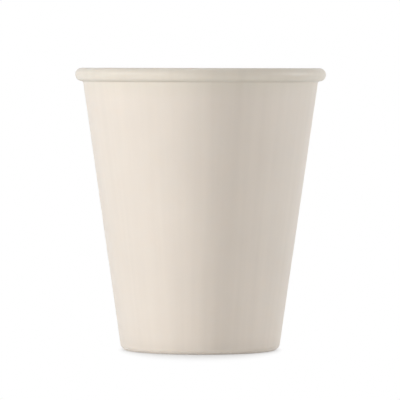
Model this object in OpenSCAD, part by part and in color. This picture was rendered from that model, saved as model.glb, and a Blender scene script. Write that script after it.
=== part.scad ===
// Reusable drinking cup of about 250 ml, moulded as one shell: a straight tapered wall, a full
// round bead at the rim that is flush with the inside, a rounded base corner, and a foot ring
// round a shallow recess with the gate mark in its middle.
// Millimetres, Z up. The origin is the middle of the foot, on the surface the cup stands on.

/* [Cup] */
// Height from the table to the top of the rim
cup_h = 90; // [70:0.5:120]
// Outer diameter across the rim bead
rim_d = 80; // [70:0.5:100]
// Outer diameter where the line of the wall meets the table
base_d = 50.4; // [40:0.2:62]
// Thickness of the wall, measured square to its slope
wall_t = 2; // [1:0.1:2.6]
// Thickness of the floor, over the recess
floor_t = 2; // [1:0.1:4]

/* [Rim] */
// Diameter of the bead's round section
bead_d = 4.2; // [3:0.1:6]
// Radius of the fillet in the neck, under the bead
neck_r = 0.6; // [0.2:0.1:1.5]

/* [Base] */
// Radius of the outside corner, between the wall and the foot
base_corner_r = 2.2; // [0.8:0.1:5]
// Radius of the inside corner, between the wall and the floor
floor_corner_r = 4; // [1:0.1:8]
// Width of the flat foot ring that the cup stands on
foot_w = 2.2; // [1:0.1:5]
// Depth of the recess inside the foot ring
recess_h = 0.9; // [0.4:0.1:2]
// Radius of the edge and of the root of the recess
recess_edge_r = 0.4; // [0.1:0.05:0.6]

/* [Gate mark] */
// Diameter of the dimple in the middle of the recess
gate_d = 6; // [3:0.5:12]
// Depth of the dimple
gate_h = 0.3; // [0.1:0.05:0.6]
// Diameter of the stub that the gate leaves in the dimple
stub_d = 1.4; // [0.8:0.1:2.4]
// Length of the stub, from the bottom of the dimple
stub_h = 0.35; // [0.1:0.05:0.5]

/* [Hidden] */
// Sides of the drawn circles
$fn = 240;
BEIGE = [0.88, 0.84, 0.79];
// How far a round bites past the line that it should touch, so that the two cross cleanly
bite = 0.001;

bead_r = bead_d / 2;
base_r = base_d / 2;
bead_at = [rim_d / 2 - bead_r, cup_h - bead_r];
floor_z = recess_h + floor_t;

// The outer line of the wall starts at base_r on the table and leans outwards by lean degrees, so
// that the inner line, wall_t behind it, just touches the bead.
run = bead_at.x - base_r;
rise = bead_at.y;
bead_n = bead_r - wall_t;
lean = acos(bead_n / norm([run, rise])) - atan2(rise, run);
bead_u = run * sin(lean) + rise * cos(lean);

// A point beside the wall: n out from its outer line, and u up along it from the table
function beside(n, u) = [
    base_r + n * cos(lean) + u * sin(lean),
    u * cos(lean) - n * sin(lean)
];
// How far up the line at n the height z lies
function up_to(n, z) = (z + n * sin(lean)) / cos(lean);

// Outside corner: its disc stands on the table and bites through the outer line
base_n = bite - base_corner_r;
base_u = up_to(base_n, base_corner_r);
base_at = beside(base_n, base_u);
// Inside corner: its disc touches the floor and bites through the inner line
floor_n = bite - wall_t - floor_corner_r;
floor_u = up_to(floor_n, floor_z + floor_corner_r);
floor_at = beside(floor_n, floor_u);
// Neck fillet: its disc lies in the corner of the outer line and the bead, and bites into both
neck_u = bead_u - sqrt(pow(bead_r + neck_r, 2) - pow(neck_r - bead_n, 2));
neck_at = beside(neck_r, neck_u);
neck_on_bead = bead_at + (neck_at - bead_at) * bead_r / (bead_r + neck_r);

// Recess inside the foot ring, with the disc of its edge in the ring and that of its root outside
edge_r = min(recess_edge_r, recess_h / 2);
recess_r = base_at.x - foot_w - edge_r;
edge_at = [recess_r + edge_r - bite, edge_r];
root_at = [recess_r - edge_r + bite, recess_h - edge_r];

// The dimple of the gate mark is a slice of a ball of radius gate_ball_r
gate_top = recess_h + gate_h;
gate_ball_r = (pow(gate_d / 2, 2) + pow(gate_h, 2)) / (2 * gate_h);

module disc(at, r) {
    translate(at) circle(r);
}

// Straight-sided section, with a chord across each corner that a disc then rounds
module blank() {
    polygon([
        [0, recess_h],
        [root_at.x, recess_h],
        [recess_r, recess_h - edge_r],
        [recess_r, edge_r],
        [edge_at.x, 0],
        [base_at.x, 0],
        beside(0, base_u),
        beside(0, neck_u),
        neck_on_bead,
        bead_at,
        beside(bite - wall_t, bead_u),
        beside(-wall_t, floor_u),
        [floor_at.x, floor_z],
        [0, floor_z]
    ]);
}

// The outer half of the disc of the outside corner, from its foot to inside the wall
module base_corner() {
    above = base_u + base_corner_r;
    intersection() {
        disc(base_at, base_corner_r);
        polygon([
            [base_at.x, 0],
            [base_at.x + base_corner_r, -base_corner_r],
            beside(base_corner_r, above),
            beside(-wall_t / 2, above)
        ]);
    }
}

module section() {
    difference() {
        union() {
            blank();
            base_corner();
            disc(bead_at, bead_r);
            disc(edge_at, edge_r);
        }
        disc(floor_at, floor_corner_r);
        disc(neck_at, neck_r + bite);
        disc(root_at, edge_r);
        disc([0, gate_top - gate_ball_r], gate_ball_r);
    }
    translate([0, gate_top - stub_h]) square([stub_d / 2, stub_h + floor_t / 4]);
}

module cup() {
    color(BEIGE) rotate_extrude() section();
}

cup();
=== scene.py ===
"""Reusable drinking cup, moulded as one shell of matte beige plastic, on a pale studio floor."""

from math import atan2, cos, degrees, radians, sin, sqrt

import bpy
import numpy as np
from mathutils import Matrix, Vector


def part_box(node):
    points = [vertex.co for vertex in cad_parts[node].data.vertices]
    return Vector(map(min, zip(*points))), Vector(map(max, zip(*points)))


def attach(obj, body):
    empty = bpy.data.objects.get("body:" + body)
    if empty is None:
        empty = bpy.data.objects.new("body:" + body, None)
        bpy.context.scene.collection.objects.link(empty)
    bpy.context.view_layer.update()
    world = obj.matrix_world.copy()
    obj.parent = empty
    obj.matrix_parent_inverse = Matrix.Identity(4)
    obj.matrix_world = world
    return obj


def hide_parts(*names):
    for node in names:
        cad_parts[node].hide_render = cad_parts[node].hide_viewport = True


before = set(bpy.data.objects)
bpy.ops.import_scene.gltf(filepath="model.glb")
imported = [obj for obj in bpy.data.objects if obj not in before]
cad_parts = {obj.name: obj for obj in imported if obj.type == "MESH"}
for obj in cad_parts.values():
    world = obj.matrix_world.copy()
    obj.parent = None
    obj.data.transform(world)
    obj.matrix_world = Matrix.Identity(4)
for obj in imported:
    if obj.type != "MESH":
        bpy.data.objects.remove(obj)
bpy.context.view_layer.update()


# The cup is one shell of polypropylene, shot through a gate in the middle of its foot. The wall is
# straight and tapered, the rim is a full round bead flush with the inside, and the cup stands on a
# flat foot ring round a shallow recess.
cup_low, cup_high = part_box("cup")
height = cup_high.z - cup_low.z
rim_r = (cup_high.x - cup_low.x) / 2
base_r = 0.0252
wall_t = 0.002
floor_t = 0.002
bead_r = 0.0021
neck_r = 0.0006
base_corner_r = 0.0022
floor_corner_r = 0.004
foot_w = 0.0022
recess_h = 0.0009
recess_edge_r = 0.0004
gate_r = 0.003
gate_h = 0.0003
stub_r = 0.0007
stub_h = 0.00035
stub_edge_r = 0.00012

bead_at = np.array([rim_r - bead_r, height - bead_r])
floor_z = recess_h + floor_t
# The inner line of the wall touches the bead, and its outer line starts at base_r on the table.
run = bead_at[0] - base_r
rise = bead_at[1]
bead_n = bead_r - wall_t
lean = atan2(run, rise) - atan2(bead_n, sqrt(run**2 + rise**2 - bead_n**2))
out_of_wall = np.array([cos(lean), -sin(lean)])
up_the_wall = np.array([sin(lean), cos(lean)])
wall_top = run * sin(lean) + rise * cos(lean)


def beside_wall(out, up):
    """A point of the section: out from the wall's outer line, and up along it from the table."""
    return np.array([base_r, 0]) + out * out_of_wall + up * up_the_wall


def up_to(out, z):
    """How far up the line that lies out from the wall's outer line the height z is reached."""
    return (z + out * sin(lean)) / cos(lean)


def arc(centre, radius, start, end, steps):
    """Points centre + radius (cos t, sin t), where t runs evenly from start to end degrees."""
    t = np.radians(np.linspace(start, end, steps + 1))
    return centre + radius * np.stack([np.cos(t), np.sin(t)], axis=1)


def straight(start, end, steps):
    """Points start + t (end - start), where t runs evenly from 0 to 1."""
    t = np.linspace(0, 1, steps + 1)[:, None]
    return start + t * (np.asarray(end) - start)


def angle_to(start, end):
    """The angle in degrees at which end is seen from start."""
    return degrees(atan2(end[1] - start[1], end[0] - start[0]))


base_at = beside_wall(-base_corner_r, up_to(-base_corner_r, base_corner_r))
floor_out = -wall_t - floor_corner_r
floor_at = beside_wall(floor_out, up_to(floor_out, floor_z + floor_corner_r))
neck_up = wall_top - sqrt((bead_r + neck_r) ** 2 - (neck_r - bead_n) ** 2)
neck_at = beside_wall(neck_r, neck_up)
recess_r = base_at[0] - foot_w - recess_edge_r
ball_r = (gate_r**2 + gate_h**2) / (2 * gate_h)
ball_at = np.array([0, recess_h + gate_h - ball_r])
stub_z = recess_h + gate_h - stub_h
stub_root = np.array([stub_r + stub_edge_r, recess_h + gate_h - 2 * stub_edge_r])

# The flat face of the recess starts just outside the edge of the gate's dimple.
dimple_edge = degrees(atan2(ball_r - gate_h, gate_r))
face_start = gate_r + 0.0002
face_end = recess_r - 2 * recess_edge_r
wall_slope = degrees(lean)
inner_top = beside_wall(-wall_t, wall_top)
inner_foot = beside_wall(-wall_t, up_to(-wall_t, floor_at[1]))

# The section runs from the axis under the floor, out and up the outside, and back down the inside.
outside = np.concatenate([
    arc([stub_r - stub_edge_r, stub_z + stub_edge_r], stub_edge_r, start=-90, end=0, steps=4),
    arc(stub_root, stub_edge_r, start=180, end=90, steps=4),
    arc(ball_at, ball_r, start=angle_to(ball_at, stub_root), end=dimple_edge, steps=8),
    straight([face_start, recess_h], [face_end, recess_h], steps=10),
    arc([recess_r - recess_edge_r, recess_h - recess_edge_r], recess_edge_r, start=90, end=0, steps=8),
    arc([recess_r + recess_edge_r, recess_edge_r], recess_edge_r, start=180, end=270, steps=8),
    arc(base_at, base_corner_r, start=-90, end=-wall_slope, steps=28),
    straight(beside_wall(0, up_to(0, base_at[1])), beside_wall(0, neck_up), steps=48)[1:-1],
    arc(neck_at, neck_r, start=180 - wall_slope, end=angle_to(neck_at, bead_at), steps=12),
    arc(bead_at, bead_r, start=angle_to(bead_at, neck_at), end=180 - wall_slope, steps=60)[1:],
])
inside = np.concatenate([
    straight(inner_top, inner_foot, steps=40)[1:-1],
    arc(floor_at, floor_corner_r, start=-wall_slope, end=-90, steps=20),
    straight([floor_at[0], floor_z], [0, floor_z], steps=12)[1:-1],
])
section = np.concatenate([outside, inside])


def turned_shell(name, section, sides):
    """A closed mesh: every section point (r, z) goes round the axis as (r cos t, r sin t, z).

    The first and the last ring are each closed by a fan of triangles round a point on the axis.
    """
    t = np.linspace(0, 2 * np.pi, sides, endpoint=False)
    r, z = section[:, :1], section[:, 1:]
    rings = np.stack([r * np.cos(t), r * np.sin(t), np.broadcast_to(z, (len(r), sides))], axis=2)
    poles = [[0, 0, section[0, 1]], [0, 0, section[-1, 1]]]
    points = np.concatenate([rings.reshape(-1, 3), poles])

    this = np.arange(len(section) * sides).reshape(-1, sides)
    right = np.roll(this, -1, axis=1)
    quads = np.stack([this[:-1], right[:-1], right[1:], this[1:]], axis=2).reshape(-1, 4)
    under, over = len(points) - 2, len(points) - 1
    under_fan = np.stack([np.full(sides, under), right[0], this[0]], axis=1)
    over_fan = np.stack([np.full(sides, over), this[-1], right[-1]], axis=1)

    mesh = bpy.data.meshes.new(name)
    mesh.from_pydata(points, [], [*quads.tolist(), *under_fan.tolist(), *over_fan.tolist()])
    mesh.shade_smooth()
    shell = bpy.data.objects.new(name, mesh)
    bpy.context.collection.objects.link(shell)
    return shell


def paint_rings(shell, name, along, sides):
    """A point attribute of a turned shell: along gives its value for each point of the section."""
    values = np.concatenate([np.repeat(along, sides), along[:1], along[-1:]])
    shell.data.attributes.new(name, "FLOAT", "POINT").data.foreach_set("value", values)


cup_sides = 288
cup = turned_shell("cup_shell", section, cup_sides)
# Hands and lips smooth the bead and the wall next to it, and there the colour is also painted a
# little darker and cooler, as shade on and under the rim. Tables scuff the foot ring. The lowest few
# millimetres of the outside are painted darker towards the bottom, as shade where the wall turns
# under onto the table. The core leaves the inside a little glossier than the cavity leaves the
# outside, and the faces of both that are flat were turned on a lathe. The two halves of the mould
# meet where the bead is widest.
handled_and_shade_reach = 0.006
# Height over which the outside is painted darker towards the table, as shade.
base_shade_h = 0.005
scuff_h = 0.0006
recess_slack = recess_edge_r / 4
floor_slack = floor_corner_r / 8
ring_r, ring_z = section.T
ring = np.arange(len(section))
from_bead = np.linalg.norm(section - bead_at, axis=1) - bead_r
in_foot = ring_r > recess_r
is_inside = ring >= len(outside)
in_recess = (np.abs(ring_z - recess_h) < recess_slack) & (ring_r < recess_r)
on_floor = is_inside & (ring_z < floor_z + floor_slack)
# This mask smooths the bead, and also sets where the colour is painted darker and cooler near it, as
# shade.
paint_rings(cup, "handled_and_rim_shade", np.clip(1 - from_bead / handled_and_shade_reach, 0, 1), cup_sides)
# This mask paints the outside darker towards the bottom of the foot, as shade where it turns under.
paint_rings(cup, "painted_base_shade", np.clip(1 - ring_z / base_shade_h, 0, 1) * in_foot * ~is_inside, cup_sides)
paint_rings(cup, "scuffed", np.clip(1 - ring_z / scuff_h, 0, 1) * in_foot, cup_sides)
paint_rings(cup, "inner", is_inside.astype(float), cup_sides)
paint_rings(cup, "turned", (in_recess | on_floor).astype(float), cup_sides)
paint_rings(cup, "parting", (ring == np.argmax(ring_r)).astype(float), cup_sides)


def add(tree, kind, inputs, **settings):
    """A new shader node. Each of its inputs gets the value, or a link from the socket, that is given."""
    made = tree.nodes.new("ShaderNode" + kind)
    for name, value in settings.items():
        setattr(made, name, value)
    for name, value in inputs.items():
        if isinstance(value, bpy.types.NodeSocket):
            tree.links.new(value, made.inputs[name])
        else:
            made.inputs[name].default_value = value
    return made


def times(tree, value, factor):
    """The socket's value times the factor."""
    return add(tree, "Math", {0: value, 1: factor}, operation="MULTIPLY").outputs[0]


def total(tree, first, *others):
    """The sum of the sockets' values."""
    for other in others:
        first = add(tree, "Math", {0: first, 1: other}, operation="ADD").outputs[0]
    return first


def swing(tree, at, scale, detail, amount):
    """Noise of the given scale that swings evenly between minus and plus half the amount."""
    noise = add(tree, "TexNoise", {"Vector": at, "Scale": scale, "Detail": detail}).outputs["Fac"]
    from_middle = add(tree, "Math", {0: noise, 1: 0.5}, operation="SUBTRACT").outputs[0]
    return times(tree, from_middle, amount)


cup_colour = (0.716, 0.655, 0.586)
cup_roughness = 0.5
plastic = bpy.data.materials.new("beige polypropylene")
plastic.use_nodes = True
tree = plastic.node_tree
plastic_shader = tree.nodes["Principled BSDF"]
plastic_shader.inputs["Specular IOR Level"].default_value = 0.3
plastic_shader.inputs["Subsurface Weight"].default_value = 0.8
plastic_shader.inputs["Subsurface Radius"].default_value = (1, 0.92, 0.84)
plastic_shader.inputs["Subsurface Scale"].default_value = 0.002
place = add(tree, "TexCoord", {}).outputs["Object"]
handled_and_rim_shade, painted_base_shade, scuffed, inner, turned, parting = (
    add(tree, "Attribute", {}, attribute_name=name).outputs["Fac"]
    for name in ("handled_and_rim_shade", "painted_base_shade", "scuffed", "inner", "turned", "parting"))

# Flow marks run from the gate out across the foot and up the wall: noise that is read on a circle
# round the axis, and hardly changes with height. Lathe marks are noise that is read by radius.
flow_circle_r = 12
flow_per_metre = 14
level = add(tree, "VectorMath", {0: place, 1: (1, 1, 0)}, operation="MULTIPLY").outputs[0]
outwards = add(tree, "VectorMath", {0: level}, operation="NORMALIZE").outputs[0]
round_axis = add(tree, "VectorMath", {0: outwards, "Scale": flow_circle_r}, operation="SCALE").outputs[0]
rising = add(tree, "VectorMath", {0: place, 1: (0, 0, flow_per_metre)}, operation="MULTIPLY").outputs[0]
along_flow = add(tree, "VectorMath", {0: round_axis, 1: rising}, operation="ADD").outputs[0]
radius = add(tree, "VectorMath", {0: level}, operation="LENGTH").outputs["Value"]
by_radius = add(tree, "CombineXYZ", {"X": radius}).outputs[0]

# The colour swings by tone_swing each way with the flow marks, the mottling and the scuffs, and is
# multiplied by two tones of painted shade: darker and cooler near the rim, darker at the foot's bottom.
tone_swing = 0.04
scuffed_darker = 0.3
# Painted shade near the rim: the colour there is made darker and a little cooler.
rim_shade_tone = (0.945, 0.957, 0.94, 1)
# Painted shade at the bottom of the foot: the colour there is made darker.
base_shade_tone = (0.92, 0.92, 0.92, 1)
flow_tone = swing(tree, along_flow, scale=1, detail=2, amount=0.9)
mottling = swing(tree, place, scale=45, detail=3, amount=0.9)
scuff = times(tree, swing(tree, place, scale=900, detail=5, amount=3), scuffed)
shade = total(tree, flow_tone, mottling, scuff, times(tree, scuffed, -scuffed_darker))
shade = add(tree, "Math", {0: shade, 1: 0.5}, operation="ADD", use_clamp=True).outputs[0]
darker = tuple((1 - tone_swing) * part for part in cup_colour) + (1,)
lighter = tuple((1 + tone_swing) * part for part in cup_colour) + (1,)
colour = add(tree, "MixRGB", {"Fac": shade, "Color1": darker, "Color2": lighter}).outputs[0]
# Both tones multiply painted shade into the colour: near the rim and at the bottom of the foot.
for painted_shade_mask, tone in ((handled_and_rim_shade, rim_shade_tone), (painted_base_shade, base_shade_tone)):
    colour = add(
        tree, "MixRGB", {"Fac": painted_shade_mask, "Color1": colour, "Color2": tone}, blend_type="MULTIPLY").outputs[0]
tree.links.new(colour, plastic_shader.inputs["Base Color"])

handled_smoother = 0.05
inner_smoother = 0.04
scuffed_rougher = 0.12
roughness = total(
    tree, swing(tree, place, scale=160, detail=4, amount=0.1),
    swing(tree, along_flow, scale=1.6, detail=2, amount=0.06),
    times(tree, handled_and_rim_shade, -handled_smoother), times(tree, inner, -inner_smoother),
    times(tree, scuffed, scuffed_rougher))
roughness = add(tree, "Math", {0: roughness, 1: cup_roughness}, operation="ADD").outputs[0]
tree.links.new(roughness, plastic_shader.inputs["Roughness"])

# The relief is in metres: the fine matte grain of the mould, a faint waviness, the flow marks,
# the polishing strokes inside, the lathe marks, the scuffs and the line where the halves meet.
scuff_depth = 0.000004
parting_height = 0.000015
grain = swing(tree, place, scale=2200, detail=2, amount=0.000005)
waviness = swing(tree, place, scale=40, detail=2, amount=0.00005)
flow_relief = swing(tree, along_flow, scale=1.6, detail=3, amount=0.000006)
polishing = times(tree, swing(tree, along_flow, scale=14, detail=2, amount=0.000004), inner)
lathe_marks = times(tree, swing(tree, by_radius, scale=1800, detail=2, amount=0.00001), turned)
relief = total(
    tree, grain, waviness, flow_relief, polishing, lathe_marks,
    times(tree, scuff, scuff_depth), times(tree, parting, parting_height))
bump = add(tree, "Bump", {"Height": relief, "Distance": 1}).outputs[0]
tree.links.new(bump, plastic_shader.inputs["Normal"])

cup.data.materials.append(plastic)
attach(cup, "root")
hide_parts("cup")


# The floor is a sheet of matte white board, lit faintly from below. Seen by the camera or in a
# reflection it is lifted to plain white, apart from the soft shadow round the foot of the cup,
# which it keeps: the shadow fades from the edge of the foot ring out to a narrow oval.
floor_half = 3.0
floor_white = 0.9
from_below = 0.14
shadow_half = (0.0265, 0.060)
shadow_depth = 0.85
shadow_fade = 1.6
floor_mesh = bpy.data.meshes.new("floor")
floor_mesh.from_pydata(
    [(-floor_half, -floor_half, 0), (floor_half, -floor_half, 0),
     (floor_half, floor_half, 0), (-floor_half, floor_half, 0)], [], [(0, 1, 2, 3)])
floor = bpy.data.objects.new("floor", floor_mesh)
bpy.context.collection.objects.link(floor)


def seen_plainly(tree):
    """1 for what the camera, a reflection or a clear piece sees, and 0 for light on the object."""
    ray = add(tree, "LightPath", {}).outputs
    seen = add(
        tree, "Math", {0: ray["Is Camera Ray"], 1: ray["Is Glossy Ray"]}, operation="MAXIMUM").outputs[0]
    return add(
        tree, "Math", {0: seen, 1: ray["Is Transmission Ray"]}, operation="MAXIMUM").outputs[0]


board = bpy.data.materials.new("white board")
board.use_nodes = True
tree = board.node_tree
tree.nodes.clear()
place = add(tree, "TexCoord", {}).outputs["Object"]
across = (1 / shadow_half[0], 1 / shadow_half[1], 0)
oval = add(tree, "VectorMath", {0: place, 1: across}, operation="MULTIPLY").outputs[0]
reach = add(tree, "VectorMath", {0: oval}, operation="LENGTH").outputs["Value"]
radius = add(tree, "VectorMath", {0: place}, operation="LENGTH").outputs["Value"]
rim_of_oval = add(tree, "Math", {0: radius, 1: reach}, operation="DIVIDE").outputs[0]
foot_ring_r = base_at[0]
near = add(tree, "MapRange", {
    "Value": radius, "From Min": foot_ring_r, "From Max": rim_of_oval, "To Min": 1, "To Max": 0,
}).outputs["Result"]
fade = add(tree, "Math", {0: near, 1: shadow_fade}, operation="POWER").outputs[0]
dark = times(tree, fade, shadow_depth)
lift = add(tree, "Math", {0: 1, 1: dark}, operation="SUBTRACT").outputs[0]
seen = seen_plainly(tree)
lifted = add(tree, "Math", {0: seen, 1: lift}, operation="MULTIPLY").outputs[0]
unseen = add(tree, "Math", {0: 1, 1: seen}, operation="SUBTRACT").outputs[0]
paint = add(tree, "BsdfDiffuse", {"Color": (floor_white, floor_white, floor_white, 1)}).outputs[0]
below = add(tree, "Emission", {"Strength": times(tree, unseen, from_below)}).outputs[0]
lit_paint = add(tree, "AddShader", {0: paint, 1: below}).outputs[0]
plain = add(tree, "Emission", {"Strength": 1}).outputs[0]
surface = add(tree, "MixShader", {"Fac": lifted, 1: lit_paint, 2: plain}).outputs[0]
add(tree, "OutputMaterial", {"Surface": surface})
floor_mesh.materials.append(board)


# The backdrop is plain white where it is seen, and a dim even light on the cup otherwise.
ambient = 0.15
world = bpy.data.worlds.new("studio")
bpy.context.scene.world = world
world.use_nodes = True
tree = world.node_tree
tree.nodes.clear()
dim = add(tree, "Background", {"Color": (1, 1, 1, 1), "Strength": ambient}).outputs[0]
white = add(tree, "Background", {"Color": (1, 1, 1, 1), "Strength": 1}).outputs[0]
backdrop = add(tree, "MixShader", {"Fac": seen_plainly(tree), 1: dim, 2: white}).outputs[0]
add(tree, "OutputWorld", {"Surface": backdrop})


# Soft boxes stand on a sphere round the cup. Each is set by its bearing from straight under the
# camera, positive to the right, its rise above the floor, its width and height, and its power.
lamp_distance = 1.2
upright = (0.25, 0.34)


def soft_box(name, bearing, rise, size, power):
    """A rectangular lamp on the sphere round the middle of the cup, facing it."""
    lamp = bpy.data.lights.new(name, "AREA")
    lamp.shape = "RECTANGLE"
    lamp.size, lamp.size_y = size
    lamp.energy = power
    box = bpy.data.objects.new(name, lamp)
    bpy.context.collection.objects.link(box)
    b, e = radians(bearing), radians(rise)
    away = Vector((sin(b) * cos(e), -cos(b) * cos(e), sin(e)))
    box.location = Vector((0, 0, height / 2)) + lamp_distance * away
    box.rotation_euler = away.to_track_quat("Z", "Y").to_euler()
    box.visible_camera = False


soft_box("key", bearing=-70, rise=7, size=upright, power=4.95)
soft_box("second", bearing=-30, rise=7, size=upright, power=6.1)
soft_box("right", bearing=100, rise=7, size=upright, power=7.05)
soft_box("overhead", bearing=0, rise=85, size=(0.6, 0.6), power=3.2)
soft_box("back", bearing=180, rise=60, size=(0.5, 0.5), power=1.5)


# The camera stands level with the rim, 1.35 m away, and looks a little down with a long lens. Its
# angles are in degrees.
camera_distance = 1.35
camera_height = height
look_down = 1.788
turn_left = 0.0047
roll = 0.11
focal_px = 4230
frame_px = 400
lens = bpy.data.cameras.new("camera")
lens.sensor_width = 36
lens.lens = focal_px / frame_px * lens.sensor_width
lens.clip_start, lens.clip_end = 0.05, 20
camera = bpy.data.objects.new("camera", lens)
bpy.context.collection.objects.link(camera)
camera.matrix_world = (
    Matrix.Translation((0, -camera_distance, camera_height))
    @ Matrix.Rotation(radians(turn_left), 4, "Z")
    @ Matrix.Rotation(radians(90 - look_down), 4, "X")
    @ Matrix.Rotation(radians(roll), 4, "Z")
)
bpy.context.scene.camera = camera
bpy.context.scene.view_settings.view_transform = "Standard"
